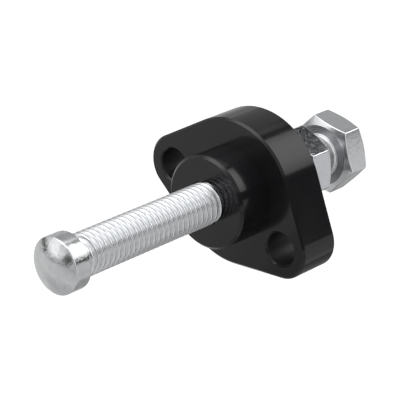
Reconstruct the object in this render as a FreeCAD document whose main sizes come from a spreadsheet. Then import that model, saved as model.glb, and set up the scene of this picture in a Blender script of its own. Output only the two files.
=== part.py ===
import FreeCAD, Part
import math
import os
import Sketcher

# Manual cam chain tensioner: a machined flange body, an adjuster bolt with a swivelling
# domed foot, and a lock nut. Millimetres. The origin is on the bolt's axis in the
# mounting face. +X runs from the foot to the hexagon head, and +Z points to the wide
# side of the flange, away from the line of the two mounting holes.

DRIVING_SIZES = [
    ("hole_spacing", 28.0, "between the two mounting holes"),
    ("hole_radius", 3.2, "clearance hole for a 6 mm screw"),
    ("ear_radius", 5.8, "round of each ear, about its hole"),
    ("ear_drop", 3.3, "from the bolt's axis down to the line of the holes"),
    ("centre_radius", 14.3, "round of the flange about the bolt"),
    ("flange_thickness", 9.0, "mounting face to rear face"),
    ("spigot_radius", 9.0, "boss that fits the engine's bore"),
    ("spigot_height", 7.0, "boss in front of the mounting face"),
    ("spigot_chamfer", 0.5, "lead-in on the boss"),
    ("edge_break", 0.4, "chamfer round the flange, both faces"),
    ("hole_chamfer", 0.3, "on both ends of each mounting hole"),
    ("bore_chamfer", 0.6, "on the threaded bores, apart from the boss's mouth"),
    ("mouth_chamfer", 0.15, "on the threaded bore's mouth in the boss"),
    ("thread_radius", 4.0, "crest of the M8 thread"),
    ("running_clearance", 0.05, "radial, between a turning piece and its bore"),
    ("end_play", 0.05, "axial, of the bolt's tip in the foot"),
    ("shank_length", 67.25, "underside of the head to the rear of the foot"),
    ("head_standoff", 16.95, "flange's rear face to the head, as the bolt is set"),
    ("head_height", 6.05, "of the bolt's hexagon"),
    ("head_across_flats", 13.7, "of the bolt, for a 14 mm spanner"),
    ("head_turn", 54.2, "degrees that the head stands turned"),
    ("head_crown_angle", 25.0, "slope of the head's corner chamfer"),
    ("nut_height", 6.3, "of the lock nut"),
    ("nut_across_flats", 13.0, "of the lock nut"),
    ("nut_standoff", 6.45, "flange's rear face to the nut, as it is set"),
    ("nut_turn", 7.2, "degrees that the nut stands turned"),
    ("nut_crown_angle", 30.0, "slope of the nut's corner chamfer"),
    ("land_radius", 6.0, "round land on both ends of the head and the nut"),
    ("ring_pitch", 0.5, "between the turned rings behind the foot"),
    ("ring_depth", 0.45, "of the grooves beside the turned rings"),
    ("foot_radius", 5.3, "outside of the foot"),
    ("foot_band", 3.5, "straight side of the foot"),
    ("foot_cap_radius", 8.75, "ball radius of the foot's face"),
    ("foot_edge_round", 0.55, "between the side and the face of the foot"),
    ("foot_rear_chamfer", 0.25, "on the rear rim of the foot"),
    ("socket_radius", 3.0, "hollow of the foot round the bolt's tip"),
    ("socket_depth", 3.3, "rear of the foot to the floor of the hollow"),
    ("lip_radius", 2.5, "rolled-in rim that holds the foot on the bolt"),
    ("lip_length", 1.0, "of that rim"),
]
TURNED_RINGS = 2
SAME_PLACE = 1e-4

doc = FreeCAD.newDocument("CamChainTensioner")


def make_sheet():
    """The driving dimensions, each in a cell with an alias and a note beside it."""
    sheet = doc.addObject("Spreadsheet::Sheet", "Sizes")
    for row, (alias, value, note) in enumerate(DRIVING_SIZES, start=1):
        sheet.set(f"A{row}", str(value))
        sheet.setAlias(f"A{row}", alias)
        sheet.set(f"B{row}", note)
    doc.recompute()


def sized(text):
    """An expression on the sheet, from words such as 'nut_height / 2'."""
    words = sorted((alias for alias, _, _ in DRIVING_SIZES), key=len, reverse=True)
    for number, alias in enumerate(words):
        text = text.replace(alias, f"<{number}>")
    for number, alias in enumerate(words):
        text = text.replace(f"<{number}>", "Sizes." + alias)
    return text


def value_of(owner, text):
    """The number that such an expression gives now."""
    result = owner.evalExpression(sized(text))
    return float(getattr(result, "Value", result))


# What every piece is built with


def new_body(label):
    body = doc.addObject("PartDesign::Body", "Body_" + label)
    body.Label = label
    return body


def new_sketch(body, name, role, away="0"):
    """A sketch on one of the body's own planes, moved away along the plane's normal."""
    sketch = body.newObject("Sketcher::SketchObject", name)
    plane = next(part for part in body.Origin.OriginFeatures if part.Role == role)
    sketch.AttachmentSupport = [(plane, "")]
    sketch.MapMode = "FlatFace"
    if away != "0":
        sketch.setExpression("AttachmentOffset.Base.z", sized(away))
    return sketch


def hold(sketch, *words, by=None):
    """Adds a constraint, bound to an expression where it has a size."""
    size = [] if by is None else [value_of(sketch, by)]
    number = sketch.addConstraint(Sketcher.Constraint(*words, *size))
    if by is not None:
        sketch.setExpression(f"Constraints[{number}]", sized(by))


def hold_point(sketch, geometry, end, across, up):
    """Holds a point at two expressions from the sketch's origin, '0' being its axis."""
    if up == "0":
        hold(sketch, "PointOnObject", geometry, end, -1)
    else:
        hold(sketch, "DistanceY", -1, 1, geometry, end, by=up)
    if across == "0":
        hold(sketch, "PointOnObject", geometry, end, -2)
    else:
        hold(sketch, "DistanceX", -1, 1, geometry, end, by=across)


def draw_polygon(sketch, corners):
    """A closed outline of straight lines through corners given as pairs of expressions."""
    spots = [
        FreeCAD.Vector(value_of(sketch, across), value_of(sketch, up), 0)
        for across, up in corners
    ]
    for number, spot in enumerate(spots):
        following = spots[(number + 1) % len(spots)]
        sketch.addGeometry(Part.LineSegment(spot, following), False)
    for number, (across, up) in enumerate(corners):
        hold(sketch, "Coincident", number, 2, (number + 1) % len(corners), 1)
        hold_point(sketch, number, 1, across, up)


def draw_circle(sketch, radius, across="0", up="0"):
    centre = FreeCAD.Vector(value_of(sketch, across), value_of(sketch, up), 0)
    circle = Part.Circle(centre, FreeCAD.Vector(0, 0, 1), value_of(sketch, radius))
    number = sketch.addGeometry(circle, False)
    hold(sketch, "Radius", number, by=radius)
    hold_point(sketch, number, 3, across, up)


def arc_of(centre, radius, start, end):
    """An arc anticlockwise from start to end, both in radians."""
    circle = Part.Circle(centre, FreeCAD.Vector(0, 0, 1), radius)
    return Part.ArcOfCircle(circle, start, end)


def finish(feature, cuts=False):
    """Recomputes, and sees that a cut really takes material away."""
    feature.Profile[0].Visibility = False
    doc.recompute()
    if cuts and feature.Shape.Volume >= feature.BaseFeature.Shape.Volume:
        raise RuntimeError(f"{feature.Name} cuts nothing")
    return feature


def pad(body, sketch, length, reverse=False):
    feature = body.newObject("PartDesign::Pad", sketch.Name + "_pad")
    feature.Profile = sketch
    feature.setExpression("Length", sized(length))
    feature.Reversed = reverse
    return finish(feature)


def cut_through(body, sketch):
    """A pocket all the way through, to both sides of the sketch."""
    feature = body.newObject("PartDesign::Pocket", sketch.Name + "_pocket")
    feature.Profile = sketch
    feature.Type = "ThroughAll"
    feature.Midplane = True
    return finish(feature, cuts=True)


def turned(body, sketch, kind):
    """A full Revolution or Groove about the bolt's axis."""
    feature = body.newObject("PartDesign::" + kind, sketch.Name + "_" + kind.lower())
    feature.Profile = sketch
    feature.ReferenceAxis = (sketch, ["H_Axis"])
    feature.Angle = 360.0
    return finish(feature, cuts=kind == "Groove")


def trim(body, kind, feature, size, test):
    """A Chamfer or Fillet, sized by the sheet, on the edges that pass a test."""
    edges = [f"Edge{n}" for n, edge in enumerate(feature.Shape.Edges, 1) if test(edge)]
    if not edges:
        raise RuntimeError(f"no edges for {size} on {body.Label}")
    result = body.newObject("PartDesign::" + kind, f"{size}_{body.Label}")
    result.Base = (feature, edges)
    result.setExpression("Size" if kind == "Chamfer" else "Radius", sized(size))
    doc.recompute()
    return result


def ring_at(radius, places):
    """A test for whole circles of one radius that lie at one of these places along X."""
    def test(edge):
        return (
            edge.Closed
            and not edge.Degenerated
            and abs(edge.Length - 2 * math.pi * radius) < SAME_PLACE
            and any(abs(edge.CenterOfMass.x - place) < SAME_PLACE for place in places)
        )
    return test


# Hexagons, of the bolt's head and the nut


def draw_hexagon(sketch, across_flats):
    corner = f"{across_flats} / sqrt(3)"
    half_side = f"{across_flats} / sqrt(12)"
    flat = f"{across_flats} / 2"
    corners = [
        (corner, "0"),
        (half_side, flat),
        ("-" + half_side, flat),
        ("-" + corner, "0"),
        ("-" + half_side, "-" + flat),
        (half_side, "-" + flat),
    ]
    draw_polygon(sketch, corners)


def crown_hexagon(body, name, across_flats, angle, face, inward):
    """Turns the corners off one end of a hexagon, which leaves a round land on its face.
    inward is the sign of X from that face into the hexagon."""
    beyond = f"({across_flats} / sqrt(3) + running_clearance)"
    slope_end = f"{face} {inward} ({beyond} - land_radius) * tan({angle})"
    sketch = new_sketch(body, name, "XY_Plane")
    draw_polygon(sketch, [(face, "land_radius"), (face, beyond), (slope_end, beyond)])
    return turned(body, sketch, "Groove")


# Tensioner body: one piece turned and milled from bar


def draw_flange(sketch):
    """The flange along the bolt's axis: a round in the middle and a smaller one at each
    ear, joined by straight flanks that touch both."""
    centre_radius = value_of(sketch, "centre_radius")
    ear_radius = value_of(sketch, "ear_radius")
    out = value_of(sketch, "hole_spacing / 2")
    drop = value_of(sketch, "ear_drop")
    heading = math.atan2(-drop, out)
    spread = math.acos((centre_radius - ear_radius) / math.hypot(out, drop))
    upper, lower = heading + spread, heading - spread
    middle = FreeCAD.Vector(0, 0, 0)
    right_ear = FreeCAD.Vector(out, -drop, 0)
    left_ear = FreeCAD.Vector(-out, -drop, 0)
    arcs = [
        arc_of(middle, centre_radius, upper, math.pi - upper),
        arc_of(left_ear, ear_radius, math.pi - upper, math.pi - lower),
        arc_of(middle, centre_radius, math.pi - lower, 2 * math.pi + lower),
        arc_of(right_ear, ear_radius, lower, upper),
    ]
    for number, arc in enumerate(arcs):
        following = arcs[(number + 1) % len(arcs)]
        sketch.addGeometry(arc, False)
        sketch.addGeometry(Part.LineSegment(arc.EndPoint, following.StartPoint), False)
    pieces = 2 * len(arcs)
    for number in range(pieces):
        hold(sketch, "Tangent", number, 2, (number + 1) % pieces, 1)
    top, left, bottom, right = 0, 2, 4, 6
    hold(sketch, "Coincident", top, 3, -1, 1)
    hold(sketch, "Coincident", bottom, 3, -1, 1)
    hold(sketch, "Equal", top, bottom)
    hold(sketch, "Equal", left, right)
    hold(sketch, "Radius", top, by="centre_radius")
    hold(sketch, "Radius", right, by="ear_radius")
    hold_point(sketch, right, 3, "hole_spacing / 2", "-ear_drop")
    hold(sketch, "Symmetric", left, 3, right, 3, -2)


def make_tensioner_body():
    body = new_body("tensioner_body")
    flange = new_sketch(body, "flange", "YZ_Plane")
    draw_flange(flange)
    pad(body, flange, "flange_thickness")
    spigot = new_sketch(body, "spigot", "YZ_Plane")
    draw_circle(spigot, "spigot_radius")
    pad(body, spigot, "spigot_height", reverse=True)
    bore = new_sketch(body, "bore", "YZ_Plane")
    draw_circle(bore, "thread_radius + running_clearance")
    cut_through(body, bore)
    holes = new_sketch(body, "mounting_holes", "YZ_Plane")
    for side in ("", "-"):
        draw_circle(holes, "hole_radius", side + "hole_spacing / 2", "-ear_drop")
    tip = cut_through(body, holes)

    rear = value_of(bore, "flange_thickness")
    front = -value_of(bore, "spigot_height")
    faces = (0.0, rear)

    def outline_edge(edge):
        box = edge.BoundBox
        flat = box.XLength < SAME_PLACE
        return flat and not edge.Closed and min(abs(box.XMin - x) for x in faces) < SAME_PLACE

    tip = trim(body, "Chamfer", tip, "edge_break", outline_edge)
    hole_rims = ring_at(value_of(bore, "hole_radius"), faces)
    tip = trim(body, "Chamfer", tip, "hole_chamfer", hole_rims)
    bore_radius = value_of(bore, "thread_radius + running_clearance")
    tip = trim(body, "Chamfer", tip, "bore_chamfer", ring_at(bore_radius, (rear,)))
    tip = trim(body, "Chamfer", tip, "mouth_chamfer", ring_at(bore_radius, (front,)))
    spigot_rim = ring_at(value_of(bore, "spigot_radius"), (front,))
    trim(body, "Chamfer", tip, "spigot_chamfer", spigot_rim)
    return body


# Adjuster bolt: shank, turned rings and the tip that the foot is rolled over, one piece
# with the hexagon head. Its own frame has the underside of the head at X = 0. The shank
# is drawn plain, at the crest of its M8 x 1.25 thread.


def shank_outline():
    """Half of the bolt's section, from the end of its tip back to the head. Grooves stand
    before, between and behind the turned rings, and the thread starts behind the last."""
    knob = "socket_radius - running_clearance"
    neck = "lip_radius - running_clearance"
    groove = "thread_radius - ring_depth"
    tip_end = "-(shank_length + socket_depth - end_play)"
    knob_rear = "-(shank_length + lip_length + end_play)"
    shoulder = "-(shank_length - end_play)"
    corners = [(tip_end, "0"), (tip_end, knob), (knob_rear, knob), (knob_rear, neck)]
    corners.append((shoulder, neck))
    groove_front = shoulder
    for ring in range(TURNED_RINGS):
        ring_front = f"{shoulder} + {ring + 0.5} * ring_pitch"
        ring_rear = f"{shoulder} + {ring + 1} * ring_pitch"
        corners += [(groove_front, groove), (ring_front, groove)]
        corners += [(ring_front, "thread_radius"), (ring_rear, "thread_radius")]
        groove_front = ring_rear
    groove_rear = f"{groove_front} + ring_pitch / 2"
    thread_front = f"{groove_rear} + ring_depth"
    corners += [(groove_front, groove), (groove_rear, groove), (thread_front, "thread_radius")]
    corners += [("0", "thread_radius"), ("0", "0")]
    return corners


def make_adjuster_bolt():
    body = new_body("adjuster_bolt")
    shank = new_sketch(body, "shank", "XY_Plane")
    draw_polygon(shank, shank_outline())
    turned(body, shank, "Revolution")
    head = new_sketch(body, "head", "YZ_Plane")
    draw_hexagon(head, "head_across_flats")
    pad(body, head, "head_height")
    crown = ("head_across_flats", "head_crown_angle")
    crown_hexagon(body, "head_front_crown", *crown, "0", "+")
    crown_hexagon(body, "head_rear_crown", *crown, "head_height", "-")
    stand(body, "flange_thickness + head_standoff", "head_turn")
    return body


# Foot: a domed cap, hollow at the rear, whose rim is rolled in behind the bolt's tip.
# Its own frame has its rear face at X = 0.


def draw_dome(sketch):
    band = value_of(sketch, "foot_band")
    radius = value_of(sketch, "foot_radius")
    ball = value_of(sketch, "foot_cap_radius")
    lean = math.asin(radius / ball)
    centre = FreeCAD.Vector(-band + ball * math.cos(lean), 0, 0)
    axis_end = FreeCAD.Vector(0, 0, 0)
    rear_rim = FreeCAD.Vector(0, radius, 0)
    front_rim = FreeCAD.Vector(-band, radius, 0)
    cap = arc_of(centre, ball, math.pi - lean, math.pi)
    rear_face, side, face, axis = (
        sketch.addGeometry(shape, False)
        for shape in (
            Part.LineSegment(axis_end, rear_rim),
            Part.LineSegment(rear_rim, front_rim),
            cap,
            Part.LineSegment(cap.EndPoint, axis_end),
        )
    )
    hold(sketch, "Coincident", rear_face, 1, -1, 1)
    hold(sketch, "Coincident", rear_face, 2, side, 1)
    hold(sketch, "Coincident", side, 2, face, 1)
    hold(sketch, "Coincident", face, 2, axis, 1)
    hold(sketch, "Coincident", axis, 2, rear_face, 1)
    hold_point(sketch, side, 1, "0", "foot_radius")
    hold_point(sketch, side, 2, "-foot_band", "foot_radius")
    hold(sketch, "PointOnObject", face, 2, -1)
    hold(sketch, "PointOnObject", face, 3, -1)
    hold(sketch, "Radius", face, by="foot_cap_radius")


def make_foot():
    body = new_body("foot_cap")
    dome = new_sketch(body, "dome", "XY_Plane")
    draw_dome(dome)
    turned(body, dome, "Revolution")
    socket = new_sketch(body, "socket", "XY_Plane")
    hollow = [
        ("0", "0"),
        ("0", "lip_radius"),
        ("-lip_length", "lip_radius"),
        ("-lip_length", "socket_radius"),
        ("-socket_depth", "socket_radius"),
        ("-socket_depth", "0"),
    ]
    draw_polygon(socket, hollow)
    tip = turned(body, socket, "Groove")
    radius = value_of(dome, "foot_radius")
    front_rim = ring_at(radius, (-value_of(dome, "foot_band"),))
    tip = trim(body, "Fillet", tip, "foot_edge_round", front_rim)
    trim(body, "Chamfer", tip, "foot_rear_chamfer", ring_at(radius, (0.0,)))
    stand(body, "flange_thickness + head_standoff - shank_length", "0")
    return body


# Lock nut. Its own frame has its front face, the one towards the flange, at X = 0.


def make_lock_nut():
    body = new_body("lock_nut")
    outside = new_sketch(body, "nut_outside", "YZ_Plane")
    draw_hexagon(outside, "nut_across_flats")
    pad(body, outside, "nut_height")
    crown = ("nut_across_flats", "nut_crown_angle")
    crown_hexagon(body, "nut_front_crown", *crown, "0", "+")
    crown_hexagon(body, "nut_rear_crown", *crown, "nut_height", "-")
    bore = new_sketch(body, "nut_bore", "YZ_Plane")
    draw_circle(bore, "thread_radius + running_clearance")
    tip = cut_through(body, bore)
    ends = (0.0, value_of(bore, "nut_height"))
    rims = ring_at(value_of(bore, "thread_radius + running_clearance"), ends)
    trim(body, "Chamfer", tip, "bore_chamfer", rims)
    stand(body, "flange_thickness + nut_standoff", "nut_turn")
    return body


def stand(body, along, angle):
    """Puts a piece at its place along the bolt's axis, turned about it."""
    about_x = FreeCAD.Rotation(FreeCAD.Vector(1, 0, 0), value_of(body, angle))
    body.Placement = FreeCAD.Placement(FreeCAD.Vector(), about_x)
    body.setExpression("Placement.Base.x", sized(along))
    if angle != "0":
        body.setExpression("Placement.Rotation.Angle", sized(angle))


def check(pieces):
    """Stops before anything is written if an object failed or a piece isn't sound."""
    doc.recompute()
    for thing in doc.Objects:
        if "Invalid" in thing.State or "Error" in thing.State:
            raise RuntimeError(f"{thing.Name} failed: {thing.State}")
    for piece in pieces:
        if piece.Shape.isNull() or not piece.Shape.isValid():
            raise RuntimeError(f"{piece.Label} has no valid shape")


make_sheet()
pieces = [make_tensioner_body(), make_adjuster_bolt(), make_foot(), make_lock_nut()]
check(pieces)
os.makedirs("parts", exist_ok=True)
for piece in pieces:
    piece.Shape.exportStep(f"parts/{piece.Label}.step")
    print(piece.Label, round(piece.Shape.Volume, 1), piece.Shape.BoundBox)
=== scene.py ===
import math

import bmesh
import bpy
from mathutils import Matrix, Vector


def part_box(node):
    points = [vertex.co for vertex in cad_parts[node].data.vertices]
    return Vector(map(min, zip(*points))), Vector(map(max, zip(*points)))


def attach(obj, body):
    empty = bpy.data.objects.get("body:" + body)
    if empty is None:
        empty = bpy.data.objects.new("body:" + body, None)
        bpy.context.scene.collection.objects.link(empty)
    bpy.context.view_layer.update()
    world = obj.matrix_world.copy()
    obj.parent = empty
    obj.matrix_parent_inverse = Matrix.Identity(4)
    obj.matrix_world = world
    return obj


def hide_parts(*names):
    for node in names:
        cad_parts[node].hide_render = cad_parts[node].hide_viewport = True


# Manual cam chain tensioner, in metres, in the part's own frame: the origin is on the
# bolt's axis in the mounting face, and +X runs from the foot to the hexagon head.

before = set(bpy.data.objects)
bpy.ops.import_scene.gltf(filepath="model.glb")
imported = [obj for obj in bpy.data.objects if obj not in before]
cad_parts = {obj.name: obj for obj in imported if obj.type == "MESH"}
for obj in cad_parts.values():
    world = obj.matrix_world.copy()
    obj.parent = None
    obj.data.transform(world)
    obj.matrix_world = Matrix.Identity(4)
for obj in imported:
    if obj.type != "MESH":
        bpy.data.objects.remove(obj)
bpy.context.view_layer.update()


# Tensioner body: flange and spigot in one piece, turned and milled from aluminium bar and
# bright black anodised. The oxide is thin and glassy, so it mirrors what stands round it,
# and the tool's fine marks show only as a faint breaking up of those reflections.

def colour(hex_code):
    """The linear colour, with alpha, of an sRGB hex value."""
    parts = [int(hex_code[i:i + 2], 16) / 255 for i in (1, 3, 5)]
    linear = [p / 12.92 if p <= 0.04045 else ((p + 0.055) / 1.055) ** 2.4 for p in parts]
    return (*linear, 1.0)


def add_node(tree, kind, inputs=None, **settings):
    """Adds a node. Each input is a value, or the output of another node to link from."""
    made = tree.nodes.new(kind)
    for name, value in settings.items():
        setattr(made, name, value)
    for socket, value in (inputs or {}).items():
        if isinstance(value, bpy.types.NodeSocket):
            tree.links.new(value, made.inputs[socket])
        else:
            made.inputs[socket].default_value = value
    return made


def new_material(name):
    """A material with an empty node tree."""
    material = bpy.data.materials.new(name)
    material.use_nodes = True
    material.node_tree.nodes.clear()
    return material


# A wave texture of scale 1 repeats after this length.
WAVE_REPEAT = math.pi / 10


def black_anodised_aluminium():
    """Machined aluminium under a dyed black oxide: nearly black, with a sharp, weak gloss.
    The tool's marks are about 0.1 mm apart and the oxide's grain is finer. Both are drawn
    coarser, so that they show. The drilled holes are rougher, and their gloss is blurred."""
    material = new_material("black_anodised_aluminium")
    tree = material.node_tree
    turning_feed = 0.00045
    mark_depth = 0.000004
    oxide_grain = 0.0006
    grain_depth = 0.000006
    clouds_per_metre = 90.0
    hole_out = 0.014
    hole_drop = 0.0033
    hole_reach = 0.00335
    drilled_roughness = 0.5
    place = add_node(tree, "ShaderNodeTexCoord").outputs["Object"]
    spot = add_node(tree, "ShaderNodeSeparateXYZ", {0: place}).outputs
    aside = add_node(tree, "ShaderNodeMath", {0: spot["Y"]}, operation="ABSOLUTE")
    from_hole = add_node(tree, "ShaderNodeVectorMath", {
        0: add_node(tree, "ShaderNodeCombineXYZ", {"X": aside.outputs[0], "Y": spot["Z"]}).outputs[0],
        1: (hole_out, -hole_drop, 0),
    }, operation="DISTANCE")
    drilled = add_node(tree, "ShaderNodeMath", {
        0: from_hole.outputs["Value"],
        1: hole_reach,
    }, operation="LESS_THAN").outputs[0]
    turned_marks = add_node(tree, "ShaderNodeTexWave", {
        "Vector": place,
        "Scale": WAVE_REPEAT / turning_feed,
        "Distortion": 0.6,
        "Detail": 2.0,
    }, wave_type="RINGS", rings_direction="X")
    grain = add_node(tree, "ShaderNodeTexNoise", {
        "Vector": place,
        "Scale": 1 / oxide_grain,
        "Detail": 3.0,
    })
    cloud = add_node(tree, "ShaderNodeTexNoise", {
        "Vector": place,
        "Scale": clouds_per_metre,
        "Detail": 2.0,
    })
    dye = add_node(tree, "ShaderNodeMix", {
        "Factor": cloud.outputs["Fac"],
        "A": colour("#161618"),
        "B": colour("#1D1D1F"),
    }, data_type="RGBA")
    gloss = add_node(tree, "ShaderNodeMapRange", {
        "Value": cloud.outputs["Fac"],
        "From Min": 0.35,
        "From Max": 0.65,
        "To Min": 0.12,
        "To Max": 0.16,
    })
    roughness = add_node(tree, "ShaderNodeMix", {
        "Factor": drilled,
        "A": gloss.outputs["Result"],
        "B": drilled_roughness,
    })
    marks = add_node(tree, "ShaderNodeBump", {
        "Strength": 0.25,
        "Distance": mark_depth,
        "Height": turned_marks.outputs["Fac"],
    })
    skin = add_node(tree, "ShaderNodeBump", {
        "Strength": 0.3,
        "Distance": grain_depth,
        "Height": grain.outputs["Fac"],
        "Normal": marks.outputs["Normal"],
    })
    shader = add_node(tree, "ShaderNodeBsdfPrincipled", {
        "Base Color": dye.outputs["Result"],
        "Metallic": 0.0,
        "Roughness": roughness.outputs["Result"],
        "Specular IOR Level": 0.42,
        "Normal": skin.outputs["Normal"],
    })
    add_node(tree, "ShaderNodeOutputMaterial", {"Surface": shader.outputs["BSDF"]})
    return material


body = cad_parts["tensioner_body"]
body.data.materials.clear()
body.data.materials.append(black_anodised_aluminium())


# Adjuster bolt: an M8 screw of cold-headed steel with a rolled right-hand thread, zinc
# plated. Two turned rings part the thread from the foot, which is rolled over its tip.
# The rolled thread is satin, and the hexagon keeps the brighter face of its die.

THREAD_PITCH = 0.00125
CREST_RADIUS = 0.004
ROOT_RADIUS = 0.003233
GROOVE_RADIUS = 0.00355
RING_PITCH = 0.0005
TURNED_RINGS = 2
STEPS_ROUND = 64
STEPS_ACROSS = 12
TIP_RADIUS = 0.00295
TIP_LENGTH = 0.0022
TIP_EDGE = 0.0003
TIP_NECK_RADIUS = 0.00245
SMALL_EDGE = 0.0001
GROOVE_EDGE = 0.00005
FOOT_CLEARANCE = 0.00005
NECK_LENGTH = 0.0043
NECK_FILLET = 0.00025
NECK_OVERLAP = 0.00002
HEAD_FLATS = 0.0137
HEAD_HEIGHT = 0.00605
HEAD_TURN = math.radians(54.2)
HEAD_CROWN = math.radians(25)
HEAD_REAR_RIM = 0.0009
LAND_RADIUS = 0.006
WELD = 0.000002


def zinc_plate(name, dark, light, rough, mottle, dents, grain, pits, turned=0.0):
    """Zinc plate on steel: a bright grey metal whose gloss and level wander a little.
    mottle and dents are the size and depth of its cloudy patches, and grain and pits those
    of its crystals. turned is the depth of the tool's rings on a face towards the foot,
    where the plate is dull and its colour is darkened as painted shade, for the shadow that
    falls on that face. The crown round that face is rough too. Real crystals are about 0.02
    mm across and real rings 0.1 mm apart: both are drawn coarser to show."""
    gloss_wander = 0.04
    material = new_material(name)
    tree = material.node_tree
    coordinates = add_node(tree, "ShaderNodeTexCoord").outputs
    place = coordinates["Object"]
    cloud = add_node(tree, "ShaderNodeTexNoise", {
        "Vector": place,
        "Scale": 1 / mottle,
        "Detail": 3.0,
        "Roughness": 0.6,
    })
    crystals = add_node(tree, "ShaderNodeTexNoise", {
        "Vector": place,
        "Scale": 1 / grain,
        "Detail": 2.0,
    })
    plate = add_node(tree, "ShaderNodeMix", {
        "Factor": cloud.outputs["Fac"],
        "A": colour(dark),
        "B": colour(light),
    }, data_type="RGBA")
    gloss = add_node(tree, "ShaderNodeMapRange", {
        "Value": crystals.outputs["Fac"],
        "From Min": 0.3,
        "From Max": 0.7,
        "To Min": rough - gloss_wander,
        "To Max": rough + gloss_wander,
    })
    hollows = add_node(tree, "ShaderNodeBump", {
        "Strength": 1.0,
        "Distance": dents,
        "Height": cloud.outputs["Fac"],
    })
    skin = add_node(tree, "ShaderNodeBump", {
        "Strength": 1.0,
        "Distance": pits,
        "Height": crystals.outputs["Fac"],
        "Normal": hollows.outputs["Normal"],
    })
    if turned:
        tool_feed = 0.0004
        face_slope = -0.97
        crown_slope = -0.85
        crown_roughness = 0.27
        rings = add_node(tree, "ShaderNodeTexWave", {
            "Vector": place,
            "Scale": WAVE_REPEAT / tool_feed,
            "Distortion": 1.0,
            "Detail": 2.0,
        }, wave_type="RINGS", rings_direction="X")
        facing = add_node(tree, "ShaderNodeSeparateXYZ", {0: coordinates["Normal"]})
        ringed_and_shaded_face = add_node(tree, "ShaderNodeMath", {
            0: facing.outputs["X"],
            1: face_slope,
        }, operation="LESS_THAN")
        skin = add_node(tree, "ShaderNodeBump", {
            "Strength": ringed_and_shaded_face.outputs[0],
            "Distance": turned,
            "Height": rings.outputs["Fac"],
            "Normal": skin.outputs["Normal"],
        })
        # Painted shade: the face turned to the foot is darkened towards #96989A, for the shadow that
        # falls on it between the head and the nut.
        plate = add_node(tree, "ShaderNodeMix", {
            "Factor": ringed_and_shaded_face.outputs[0],
            "A": plate.outputs["Result"],
            "B": colour("#96989A"),
        }, data_type="RGBA")
        on_crown = add_node(tree, "ShaderNodeMath", {
            0: facing.outputs["X"],
            1: crown_slope,
        }, operation="LESS_THAN")
        gloss = add_node(tree, "ShaderNodeMix", {
            "Factor": on_crown.outputs[0],
            "A": gloss.outputs["Result"],
            "B": crown_roughness,
        })
    shader = add_node(tree, "ShaderNodeBsdfPrincipled", {
        "Base Color": plate.outputs["Result"],
        "Metallic": 1.0,
        "Roughness": gloss.outputs["Result"],
        "Normal": skin.outputs["Normal"],
    })
    add_node(tree, "ShaderNodeOutputMaterial", {"Surface": shader.outputs["BSDF"]})
    return material


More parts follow.
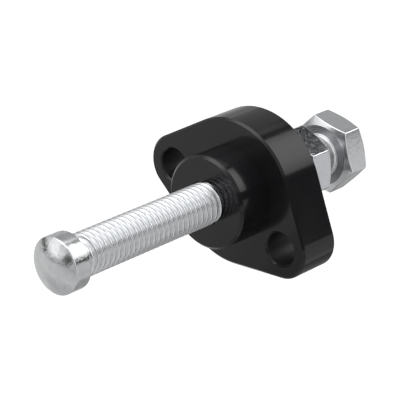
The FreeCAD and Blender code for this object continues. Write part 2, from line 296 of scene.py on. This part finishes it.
def rolled_thread_tree():
    """Geometry nodes for a right-hand thread along X: a long strip, one pitch wide, wound
    round the axis. Its edges meet turn by turn. It rises from the root at its start, and at
    its end the root runs out to the crest."""
    root_flat = 1 / 6
    crest_flat = 0.83
    spare_turns = 2.0
    tree = bpy.data.node_groups.new("rolled_thread", "GeometryNodeTree")
    for name in ("Start", "End", "Pitch", "Crest Radius", "Root Radius"):
        tree.interface.new_socket(name, in_out="INPUT", socket_type="NodeSocketFloat")
    for name in ("Steps Round", "Steps Across"):
        tree.interface.new_socket(name, in_out="INPUT", socket_type="NodeSocketInt")
    tree.interface.new_socket("Finish", in_out="INPUT", socket_type="NodeSocketMaterial")
    tree.interface.new_socket("Mesh", in_out="OUTPUT", socket_type="NodeSocketGeometry")
    given = add_node(tree, "NodeGroupInput").outputs
    spot = add_node(tree, "ShaderNodeSeparateXYZ", {
        0: add_node(tree, "GeometryNodeInputPosition").outputs[0],
    }).outputs
    flank = add_node(tree, "ShaderNodeMapRange", {
        "From Min": root_flat,
        "From Max": crest_flat,
        "To Min": given["Root Radius"],
        "To Max": given["Crest Radius"],
    })
    known = {socket.name: socket for socket in given}
    known.update({"X": spot["X"], "Y": spot["Y"], "flank": flank.outputs["Result"]})

    # Each line is a result, its operation, and its terms: earlier results or numbers.
    for result, operation, *terms in (
        ("reach", "SUBTRACT", "End", "Start"),
        ("full turns", "DIVIDE", "reach", "Pitch"),
        ("turns", "ADD", "full turns", spare_turns),
        ("fine steps", "MULTIPLY", "turns", "Steps Round"),
        ("steps", "CEIL", "fine steps"),
        ("columns", "ADD", "steps", 1.0),
        ("rows", "ADD", "Steps Across", 1.0),
        ("share of strip", "ADD", "X", 0.5),
        ("loose step", "MULTIPLY", "share of strip", "steps"),
        ("step", "ROUND", "loose step"),
        ("turn", "DIVIDE", "step", "Steps Round"),
        ("part turn", "FRACT", "turn"),
        ("angle", "MULTIPLY", "part turn", math.tau),
        ("across", "ADD", "Y", 0.5),
        ("pitches", "ADD", "turn", "across"),
        ("first", "SUBTRACT", "Start", "Pitch"),
        ("free along", "MULTIPLY_ADD", "pitches", "Pitch", "first"),
        ("after start", "MAXIMUM", "free along", "Start"),
        ("along", "MINIMUM", "after start", "End"),
        ("from middle", "MULTIPLY_ADD", "across", 2.0, -1.0),
        ("from root", "ABSOLUTE", "from middle"),
        ("run in", "SUBTRACT", "along", "Start"),
        ("start cone", "ADD", "run in", "Root Radius"),
        ("risen", "MINIMUM", "flank", "start cone"),
        ("run out", "SUBTRACT", "along", "End"),
        ("end cone", "ADD", "run out", "Crest Radius"),
        ("radius", "MAXIMUM", "risen", "end cone"),
        ("cosine", "COSINE", "angle"),
        ("sine", "SINE", "angle"),
        ("aside", "MULTIPLY", "radius", "cosine"),
        ("height", "MULTIPLY", "radius", "sine"),
    ):
        inputs = {number: known.get(term, term) for number, term in enumerate(terms)}
        known[result] = add_node(tree, "ShaderNodeMath", inputs, operation=operation).outputs[0]
    tree.links.new(known["from root"], flank.inputs["Value"])

    strip = add_node(tree, "GeometryNodeMeshGrid", {
        "Size X": 1.0,
        "Size Y": 1.0,
        "Vertices X": known["columns"],
        "Vertices Y": known["rows"],
    })
    wound = add_node(tree, "ShaderNodeCombineXYZ", {
        "X": known["along"],
        "Y": known["aside"],
        "Z": known["height"],
    })
    coil = add_node(tree, "GeometryNodeSetPosition", {
        "Geometry": strip.outputs["Mesh"],
        "Position": wound.outputs[0],
    })
    welded = add_node(tree, "GeometryNodeMergeByDistance", {
        "Geometry": coil.outputs[0],
        "Distance": WELD,
    })
    smooth = add_node(tree, "GeometryNodeSetShadeSmooth", {"Geometry": welded.outputs[0]})
    real = add_node(tree, "GeometryNodeRealizeInstances", {"Geometry": smooth.outputs[0]})
    painted = add_node(tree, "GeometryNodeSetMaterial", {
        "Geometry": real.outputs[0],
        "Material": given["Finish"],
    })
    add_node(tree, "NodeGroupOutput", {"Mesh": painted.outputs[0]})
    return tree


def grown_mesh(name, tree, values):
    """The plain mesh that a geometry node tree grows from these named inputs."""
    seed = bpy.data.objects.new(name + "_seed", bpy.data.meshes.new(name + "_seed"))
    bpy.context.scene.collection.objects.link(seed)
    modifier = seed.modifiers.new(name, "NODES")
    modifier.node_group = tree
    for socket in tree.interface.items_tree:
        if socket.in_out == "INPUT":
            modifier[socket.identifier] = values[socket.name]
    graph = bpy.context.evaluated_depsgraph_get()
    grown = bpy.data.meshes.new_from_object(seed.evaluated_get(graph))
    seed.modifiers.remove(modifier)
    bpy.data.objects.remove(seed)
    return grown


def rounded(corners, steps=4):
    """An open outline with its corners rounded. Each corner is (along, out, radius). A round
    takes just under half of the shorter side at most."""
    longest_run = 0.49
    outline = []
    for number, (along, out, radius) in enumerate(corners):
        here = Vector((along, out))
        if not radius or number in (0, len(corners) - 1):
            outline.append(here)
            continue
        back = Vector(corners[number - 1][:2]) - here
        on = Vector(corners[number + 1][:2]) - here
        half = back.angle(on) / 2
        room = longest_run * min(back.length, on.length)
        run = min(radius / math.tan(half), room)
        radius = run * math.tan(half)
        middle = here + (back.normalized() + on.normalized()).normalized() * radius / math.sin(half)
        start = here + back.normalized() * run - middle
        end = here + on.normalized() * run - middle
        sweep = math.atan2(start.x * end.y - start.y * end.x, start.dot(end))
        for step in range(steps + 1):
            outline.append(middle + Matrix.Rotation(sweep * step / steps, 2) @ start)
    return outline


def add_rings(mesh, rows, finish=0):
    """Quads between rings of points. Each ring's last point is joined to its first."""
    placed = [[mesh.verts.new(point) for point in row] for row in rows]
    for lower, upper in zip(placed, placed[1:]):
        for number in range(len(lower)):
            following = (number + 1) % len(lower)
            corners = [lower[number], lower[following], upper[following], upper[number]]
            face = mesh.faces.new(corners)
            face.smooth = True
            face.material_index = finish
    return placed


def add_turned(mesh, outline):
    """A surface turned about X from an outline of (along, out) points."""
    angles = [math.tau * step / STEPS_ROUND for step in range(STEPS_ROUND)]
    rows = [
        [(along, out * math.cos(angle), out * math.sin(angle)) for angle in angles]
        for along, out in outline
    ]
    add_rings(mesh, rows)


def add_hexagon(mesh, flats, start, height, turn, crown, inside, rear_rim, finish=0):
    """A hexagon along X from start. Its corners are turned off at both ends at the crown's
    slope, and all its edges are rounded, the crown's rear rim by rear_rim. inside lists the
    section's (depth, out) points that lie within the land, from its middle to the front
    face. The rear mirrors them."""
    edge = 0.0004
    edge_steps = 4
    side_steps = 12
    front_rim = 0.00025
    land_rim = 0.00015
    to_round = (flats / 2 - edge) / math.cos(math.pi / 6)
    outline = []
    for side in range(6):
        corner = turn + side * math.pi / 3
        centre = Vector((math.cos(corner), math.sin(corner))) * to_round
        for step in range(-edge_steps, edge_steps + 1):
            angle = corner + step * math.pi / 6 / edge_steps
            outline.append(centre + Vector((math.cos(angle), math.sin(angle))) * edge)
        nearest = outline[-1]
        following = corner + math.pi / 3
        centre = Vector((math.cos(following), math.sin(following))) * to_round
        angle = following - math.pi / 6
        far = centre + Vector((math.cos(angle), math.sin(angle))) * edge
        outline += [nearest.lerp(far, step / side_steps) for step in range(1, side_steps)]
    columns = []
    for point in outline:
        out = point.length
        drop = (out - LAND_RADIUS) * math.tan(crown)
        front = [(depth, reach, 0) for depth, reach in inside]
        front.append((0, LAND_RADIUS, land_rim))
        section = [(start + depth, reach, soft) for depth, reach, soft in front]
        section.append((start + drop, out, front_rim))
        section.append((start + height - drop, out, rear_rim))
        section += [(start + height - depth, reach, soft) for depth, reach, soft in reversed(front)]
        way = point.normalized()
        columns.append([(along, *(way * reach)) for along, reach in rounded(section)])
    rows = [[column[level] for column in columns] for level in range(len(columns[0]))]
    return add_rings(mesh, rows, finish)


def close_disc(mesh, row, finish):
    """Closes a ring of vertices with triangles to its middle."""
    centre = sum((vertex.co for vertex in row), Vector()) / len(row)
    middle = mesh.verts.new(centre)
    for number, vertex in enumerate(row):
        face = mesh.faces.new([vertex, row[(number + 1) % len(row)], middle])
        face.material_index = finish


def add_piece(name, mesh, finishes, body_name, node):
    """Makes a closed mesh into a piece that stands for a CAD node and rides on its body."""
    bmesh.ops.remove_doubles(mesh, verts=mesh.verts, dist=WELD)
    bmesh.ops.recalc_face_normals(mesh, faces=mesh.faces)
    data = bpy.data.meshes.new(name)
    mesh.to_mesh(data)
    mesh.free()
    for finish in finishes:
        data.materials.append(finish)
    piece = bpy.data.objects.new(name, data)
    bpy.context.scene.collection.objects.link(piece)
    level = piece.modifiers.new("level_normals", "WEIGHTED_NORMAL")
    level.weight = 100
    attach(piece, body_name)
    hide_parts(node)


satin_thread = zinc_plate("satin_zinc_thread", "#F0F1F2", "#F8F9FA", 0.29, 0.0009, 0.000004,
                          0.0003, 0.000003)
bright_head = zinc_plate("bright_zinc_head", "#E2E4E6", "#F0F1F3", 0.14, 0.0011, 0.000008,
                         0.0004, 0.000008, turned=0.000030)

bolt_front, bolt_rear = (corner.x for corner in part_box("adjuster_bolt"))
foot_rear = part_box("foot_cap")[1].x
head_front = bolt_rear - HEAD_HEIGHT
shoulder = foot_rear + FOOT_CLEARANCE
thread_start = shoulder + (TURNED_RINGS + 0.5) * RING_PITCH
thread_end = head_front - NECK_LENGTH

thread = grown_mesh("adjuster_thread", rolled_thread_tree(), {
    "Start": thread_start,
    "End": thread_end,
    "Pitch": THREAD_PITCH,
    "Crest Radius": CREST_RADIUS,
    "Root Radius": ROOT_RADIUS,
    "Steps Round": STEPS_ROUND,
    "Steps Across": STEPS_ACROSS,
    "Finish": satin_thread,
})
bolt = bmesh.new()
bolt.from_mesh(thread)
tip = [
    (bolt_front, 0, 0),
    (bolt_front, TIP_RADIUS, TIP_EDGE),
    (bolt_front + TIP_LENGTH, TIP_RADIUS, SMALL_EDGE),
    (bolt_front + TIP_LENGTH, TIP_NECK_RADIUS, SMALL_EDGE),
    (shoulder, TIP_NECK_RADIUS, 0),
    (shoulder, GROOVE_RADIUS, 0),
]
for ring in range(TURNED_RINGS):
    ring_front = shoulder + (ring + 0.5) * RING_PITCH
    ring_rear = ring_front + RING_PITCH / 2
    tip.append((ring_front, GROOVE_RADIUS, GROOVE_EDGE))
    tip.append((ring_front, CREST_RADIUS, SMALL_EDGE))
    tip.append((ring_rear, CREST_RADIUS, SMALL_EDGE))
    tip.append((ring_rear, GROOVE_RADIUS, GROOVE_EDGE))
tip += [(thread_start, GROOVE_RADIUS, 0), (thread_start, ROOT_RADIUS, 0)]
add_turned(bolt, rounded(tip))
neck_front = head_front - NECK_OVERLAP
neck_rear = head_front + NECK_FILLET
neck_flare = CREST_RADIUS + 1.5 * NECK_FILLET
neck = rounded([
    (thread_end, CREST_RADIUS, 0),
    (neck_front, CREST_RADIUS, NECK_FILLET),
    (neck_front, neck_flare, 0),
    (neck_rear, neck_flare, 0),
    (neck_rear, 0, 0),
])
add_turned(bolt, neck)
head = add_hexagon(bolt, HEAD_FLATS, head_front, HEAD_HEIGHT, HEAD_TURN, HEAD_CROWN,
                   [(0, CREST_RADIUS)], HEAD_REAR_RIM, finish=1)
close_disc(bolt, head[0], finish=1)
close_disc(bolt, head[-1], finish=1)
add_piece("threaded_adjuster_bolt", bolt, [satin_thread, bright_head], "bolt",
          "adjuster_bolt")


# Foot: a domed cap of turned steel, zinc plated, that presses on the chain's slipper. Its
# rear rim is rolled in behind the bolt's tip, so the bolt turns while the foot stands.

DOME_RADIUS = 0.00875
DOME_SHARE = 0.93
DOME_STEPS = 14
FOOT_RADIUS = 0.0053
FOOT_BAND = 0.0035
FOOT_SHOULDER = 0.0006
FOOT_REAR_EDGE = 0.00025
LIP_EDGE = 0.0003
LIP_RADIUS = 0.0025
LIP_LENGTH = 0.001
SOCKET_RADIUS = 0.003
SOCKET_DEPTH = 0.0033

foot_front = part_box("foot_cap")[0].x
lean = math.asin(FOOT_RADIUS / DOME_RADIUS) * DOME_SHARE
foot_outline = []
for step in range(DOME_STEPS + 1):
    angle = lean * step / DOME_STEPS
    along = foot_front + DOME_RADIUS * (1 - math.cos(angle))
    foot_outline.append((along, DOME_RADIUS * math.sin(angle)))
band_front = foot_rear - FOOT_BAND
foot_outline += [tuple(point) for point in rounded([
    (*foot_outline[-1], 0),
    (band_front, FOOT_RADIUS, FOOT_SHOULDER),
    (foot_rear, FOOT_RADIUS, FOOT_REAR_EDGE),
    (foot_rear, LIP_RADIUS, LIP_EDGE),
    (foot_rear - LIP_LENGTH, LIP_RADIUS, 0),
    (foot_rear - LIP_LENGTH, SOCKET_RADIUS, 0),
    (foot_rear - SOCKET_DEPTH, SOCKET_RADIUS, 0),
    (foot_rear - SOCKET_DEPTH, 0, 0),
], steps=6)[1:]]
foot = bmesh.new()
add_turned(foot, foot_outline)
satin_foot = zinc_plate("satin_zinc_foot", "#C8CACB", "#EAECED", 0.20, 0.0014, 0.00007,
                        0.0004, 0.000015)
add_piece("domed_swivel_foot", foot, [satin_foot], "foot", "foot_cap")


# Lock nut: a plain M8 nut, 13 mm across its flats, cold formed and bright zinc plated. It
# is run down the thread to the flange to lock the bolt once the chain is set. Its front is
# set back by a hair, so that it doesn't sink into the flange there.

NUT_FLATS = 0.013
NUT_TURN = math.radians(7.2)
NUT_CROWN = math.radians(30)
NUT_REAR_RIM = 0.00025
NUT_SET_BACK = 0.00002
BORE_RADIUS = 0.00405
BORE_CHAMFER = 0.0006

nut_front, nut_rear = (corner.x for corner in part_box("lock_nut"))
nut_front += NUT_SET_BACK
nut_height = nut_rear - nut_front
nut = bmesh.new()
bore = [
    (nut_height / 2, BORE_RADIUS),
    (BORE_CHAMFER, BORE_RADIUS),
    (0, BORE_RADIUS + BORE_CHAMFER),
]
add_hexagon(nut, NUT_FLATS, nut_front, nut_height, NUT_TURN, NUT_CROWN, bore, NUT_REAR_RIM)
bright_nut = zinc_plate("bright_zinc_nut", "#D6D8DC", "#EAECF0", 0.08, 0.0011, 0.000006,
                        0.0003, 0.00006)
add_piece("hexagon_lock_nut", nut, [bright_nut], "nut", "lock_nut")


# Studio: a pale paper floor under the held part, a white surround and large soft boxes, with
# black and grey cards between them for the polished faces to mirror. Metal shows the paper
# and the surround too, at the pale grey that they have away from the lit backdrop.

FLOOR_DROP = 0.1
FLOOR_SIZE = 6.0
FLOOR_MIRRORED = 0.26
NEAR_PART = 0.15
FAR_FROM_PART = 0.7
SURROUND_MIRRORED = 0.42
SURROUND_FILL = 0.3


def seen_share(tree, mirrored):
    """How much of the white backdrop a ray sees: all of it for the camera, and the given
    share for a reflection or a refraction."""
    rays = add_node(tree, "ShaderNodeLightPath").outputs
    bent = add_node(tree, "ShaderNodeMath", {
        0: rays["Is Glossy Ray"],
        1: rays["Is Transmission Ray"],
    }, operation="MAXIMUM")
    dimmed = add_node(tree, "ShaderNodeMath", {0: bent.outputs[0], 1: mirrored}, operation="MULTIPLY")
    seen = add_node(tree, "ShaderNodeMath", {
        0: rays["Is Camera Ray"],
        1: dimmed.outputs[0],
    }, operation="MAXIMUM")
    return seen.outputs[0]


def pale_floor():
    """Matt white paper. It is lit from behind to pure white, and a little less so near the
    part, which gives the metal above it a soft change from pale grey to white."""
    material = new_material("pale_floor")
    tree = material.node_tree
    place = add_node(tree, "ShaderNodeTexCoord").outputs["Object"]
    from_middle = add_node(tree, "ShaderNodeVectorMath", {0: place}, operation="LENGTH")
    far = add_node(tree, "ShaderNodeMapRange", {
        "Value": from_middle.outputs["Value"],
        "From Min": NEAR_PART,
        "From Max": FAR_FROM_PART,
        "To Min": 0.62,
        "To Max": 1.0,
    })
    white = add_node(tree, "ShaderNodeMath", {
        0: seen_share(tree, FLOOR_MIRRORED),
        1: far.outputs["Result"],
    }, operation="MULTIPLY")
    paper = add_node(tree, "ShaderNodeBsdfDiffuse", {"Color": colour("#BEBEBE")})
    glow = add_node(tree, "ShaderNodeEmission", {
        "Color": colour("#FFFFFF"),
        "Strength": white.outputs[0],
    })
    lit = add_node(tree, "ShaderNodeAddShader", {0: paper.outputs[0], 1: glow.outputs[0]})
    add_node(tree, "ShaderNodeOutputMaterial", {"Surface": lit.outputs[0]})
    return material


floor_data = bpy.data.meshes.new("floor")
half = FLOOR_SIZE / 2
floor_data.from_pydata(
    [(-half, -half, 0), (half, -half, 0), (half, half, 0), (-half, half, 0)],
    [],
    [(0, 1, 2, 3)],
)
floor = bpy.data.objects.new("floor", floor_data)
floor.location.z = -FLOOR_DROP
floor_data.materials.append(pale_floor())
bpy.context.scene.collection.objects.link(floor)

world = bpy.data.worlds.new("white_surround")
bpy.context.scene.world = world
world.use_nodes = True
sky = world.node_tree
sky.nodes.clear()
fill = add_node(sky, "ShaderNodeBackground", {
    "Color": colour("#FFFFFF"),
    "Strength": SURROUND_FILL,
})
backdrop = add_node(sky, "ShaderNodeBackground", {"Color": colour("#FFFFFF"), "Strength": 1.0})
surround = add_node(sky, "ShaderNodeMixShader", {
    0: seen_share(sky, SURROUND_MIRRORED),
    1: fill.outputs[0],
    2: backdrop.outputs[0],
})
add_node(sky, "ShaderNodeOutputWorld", {"Surface": surround.outputs[0]})


def add_card(name, direction, distance, width, height, material):
    """A card that faces the part. Its height runs along the bolt, and its width across."""
    way = Vector(direction).normalized()
    along = (Vector((1, 0, 0)) - way * way.x).normalized()
    across = along.cross(way)
    data = bpy.data.meshes.new(name)
    x, y = width / 2, height / 2
    data.from_pydata([(-x, -y, 0), (x, -y, 0), (x, y, 0), (-x, y, 0)], [], [(0, 1, 2, 3)])
    data.materials.append(material)
    card = bpy.data.objects.new(name, data)
    axes = Matrix((across, along, way)).transposed()
    card.matrix_world = Matrix.Translation(way * distance) @ axes.to_4x4()
    card.visible_camera = False
    card.visible_shadow = False
    bpy.context.scene.collection.objects.link(card)
    return card


def soft_box(name, direction, distance, width, height, brightness, rim):
    """A lit card, bright in the middle, that falls off to a share of that at its rim. A
    brightness of 1 mirrors as white."""
    bright_middle = 0.2
    dim_rim = 1.1
    material = new_material(name)
    tree = material.node_tree
    place = add_node(tree, "ShaderNodeTexCoord").outputs["Object"]
    scaled = add_node(tree, "ShaderNodeVectorMath", {
        0: place,
        1: (2 / width, 2 / height, 0),
    }, operation="MULTIPLY")
    out = add_node(tree, "ShaderNodeVectorMath", {0: scaled.outputs[0]}, operation="LENGTH")
    glow = add_node(tree, "ShaderNodeMapRange", {
        "Value": out.outputs["Value"],
        "From Min": bright_middle,
        "From Max": dim_rim,
        "To Min": brightness,
        "To Max": brightness * rim,
    }, interpolation_type="SMOOTHSTEP")
    lamp = add_node(tree, "ShaderNodeEmission", {"Strength": glow.outputs["Result"]})
    add_node(tree, "ShaderNodeOutputMaterial", {"Surface": lamp.outputs[0]})
    add_card(name, direction, distance, width, height, material)


def flag(name, direction, distance, width, height, tone):
    """A card, from black to pale grey, that only reflections see. It glows at its tone as painted
    light, and the lamps don't light it.
    """
    material = new_material(name)
    tree = material.node_tree
    painted_glow = add_node(tree, "ShaderNodeEmission", {"Color": colour(tone), "Strength": 1.0})
    add_node(tree, "ShaderNodeOutputMaterial", {"Surface": painted_glow.outputs[0]})
    card = add_card(name, direction, distance, width, height, material)
    card.visible_diffuse = False


# Each has its name, the way to it from the part, its distance, its width and its height.
# Then a soft box has its brightness and its rim's share of that, and a card its tone.
soft_box("overhead_box", (0.10, 0.2, 1.0), 0.42, 0.42, 0.56, 1.8, 0.6)
soft_box("right_box", (-0.27, -0.62, 0.74), 0.40, 0.34, 0.20, 1.8, 0.6)
soft_box("front_left_box", (-0.5, 0.55, 0.67), 0.45, 0.48, 0.48, 2.6, 0.3)
soft_box("front_low_box", (-0.83, 0.54, 0.12), 0.42, 0.22, 0.38, 1.3, 0.7)
soft_box("rear_right_box", (0.684, -0.19, 0.70), 0.40, 0.36, 0.36, 2.1, 0.55)
flag("side_card", (-0.12, -0.98, -0.05), 0.38, 0.46, 0.16, "#F0F0F0")
flag("rear_right_flag", (0.684, -0.608, 0.402), 0.36, 0.092, 0.36, "#202020")
flag("rear_side_card", (0.684, -0.725, 0.06), 0.40, 0.20, 0.36, "#CCCCCC")
flag("rear_flag", (0.684, 0.235, 0.690), 0.36, 0.046, 0.36, "#585858")
flag("rear_card", (0.684, 0.611, 0.397), 0.40, 0.26, 0.50, "#A8A8A8")
flag("front_flag", (-0.965, -0.105, 0.145), 0.36, 0.10, 0.13, "#383838")
flag("front_right_flag", (-0.714, -0.618, 0.328), 0.36, 0.15, 0.13, "#505050")
flag("left_flag", (-0.44, 0.86, -0.25), 0.36, 0.10, 0.24, "#505050")
flag("horizon_flag", (-0.875, 0.41, -0.205), 0.37, 0.036, 0.28, "#707070")
flag("nut_flag", (0.795, 0.205, 0.575), 0.078, 0.024, 0.022, "#080808")
# under_flag, under_foot_card, under_card and rear_under_flag are painted shadow: grey cards below the
# part that stand for its own shade on a nearer floor, seen only in its reflections.
flag("under_flag", (0.57, -0.40, -0.78), 0.050, 0.052, 0.060, "#888888")
flag("under_foot_card", (-0.60, 0.0, -0.80), 0.096, 0.075, 0.08, "#C0C0C0")
flag("under_card", (-0.55, -0.35, -0.9), 0.038, 0.03, 0.05, "#A0A0A0")
flag("rear_under_flag", (0.085, 0.0, -0.065), 0.107, 0.06, 0.05, "#A4A4A4")


# Camera: the photograph's viewpoint, from above the foot's side with a long lens, rolled
# so that the bolt runs up to the right.

VIEW_AZIMUTH = math.radians(-56.47)
VIEW_ELEVATION = math.radians(34.82)
VIEW_ROLL = math.radians(18.1)
VIEW_DISTANCE = 0.36527
VIEW_SHIFT_RIGHT = -0.00566
VIEW_SHIFT_UP = -0.001402
LENS = 178.18
SENSOR = 36

back = Vector((
    math.sin(VIEW_AZIMUTH) * math.cos(VIEW_ELEVATION),
    -math.cos(VIEW_AZIMUTH) * math.cos(VIEW_ELEVATION),
    math.sin(VIEW_ELEVATION),
))
level_right = Vector((0, 0, 1)).cross(back).normalized()
level_up = back.cross(level_right)
right = level_right * math.cos(VIEW_ROLL) + level_up * math.sin(VIEW_ROLL)
up = back.cross(right)
camera = bpy.data.objects.new("camera", bpy.data.cameras.new("camera"))
camera.data.sensor_width = SENSOR
camera.data.lens = LENS
camera.data.clip_start = 0.01
camera.data.clip_end = 20
camera.matrix_world = Matrix((
    (right.x, up.x, back.x, 0),
    (right.y, up.y, back.y, 0),
    (right.z, up.z, back.z, 0),
    (0, 0, 0, 1),
))
camera.location = back * VIEW_DISTANCE + right * VIEW_SHIFT_RIGHT + up * VIEW_SHIFT_UP
bpy.context.scene.collection.objects.link(camera)
bpy.context.scene.camera = camera
bpy.context.scene.view_settings.view_transform = "Standard"
